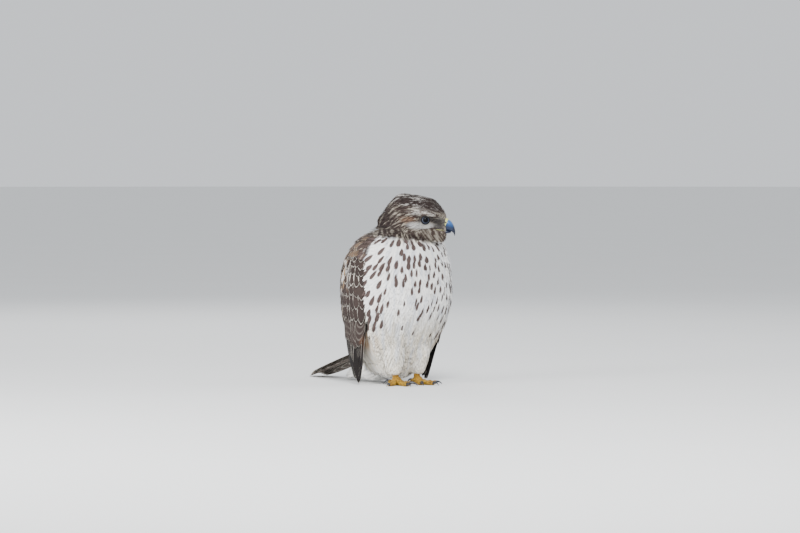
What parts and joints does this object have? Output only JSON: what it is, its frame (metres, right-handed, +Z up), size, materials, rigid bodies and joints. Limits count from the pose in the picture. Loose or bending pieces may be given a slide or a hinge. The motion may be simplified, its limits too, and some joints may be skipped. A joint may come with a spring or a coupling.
{
  "type": "juvenile buteo hawk",
  "caption": "Life-size still model of a young hawk standing upright, head turned to its left, wings folded and tail laid on the floor behind it.",
  "frame": {"origin": "middle of the hawk's bounding box, on the floor that it stands on", "axes": "the breast faces -Y, the tail lies towards +Y, the bird's left is +X, +Z is up"},
  "size_m": [0.2056, 0.355, 0.3332],
  "materials": {
    "white_plumage": "white feathers with brown drops and fine streaks",
    "streaked_head": "brown feathers with pale streaks, pale brow and cheek",
    "brown_plumage": "dark brown feathers with thin pale edges",
    "tail_feathers": "grey-brown vanes with faint bars and pale edges",
    "yellow_skin": "scaled yellow skin, satin",
    "pale_cere": "smooth pale yellow-green skin",
    "bill": "smooth blue-grey horn, darker towards the tip",
    "claw": "smooth blue-black horn",
    "eye": "wet, dark pupil in a grey-brown iris"
  },
  "bodies": {
    "root": {"head": "streaked_head", "neck": "streaked_head", "torso": "white_plumage", "eye_left": "eye", "eye_right": "eye", "cere": "pale_cere", "bill_upper": "bill", "bill_lower": "bill", "wing_left": "brown_plumage", "wing_right": "brown_plumage", "tail": "tail_feathers", "undertail_coverts": "white_plumage", "thigh_left": "white_plumage", "tarsus_left": "yellow_skin", "foot_left": "yellow_skin", "claw_inner_left": "claw", "claw_middle_left": "claw", "claw_outer_left": "claw", "claw_hind_left": "claw", "thigh_right": "white_plumage", "tarsus_right": "yellow_skin", "foot_right": "yellow_skin", "claw_inner_right": "claw", "claw_middle_right": "claw", "claw_outer_right": "claw", "claw_hind_right": "claw"}
  },
  "joints": []
}
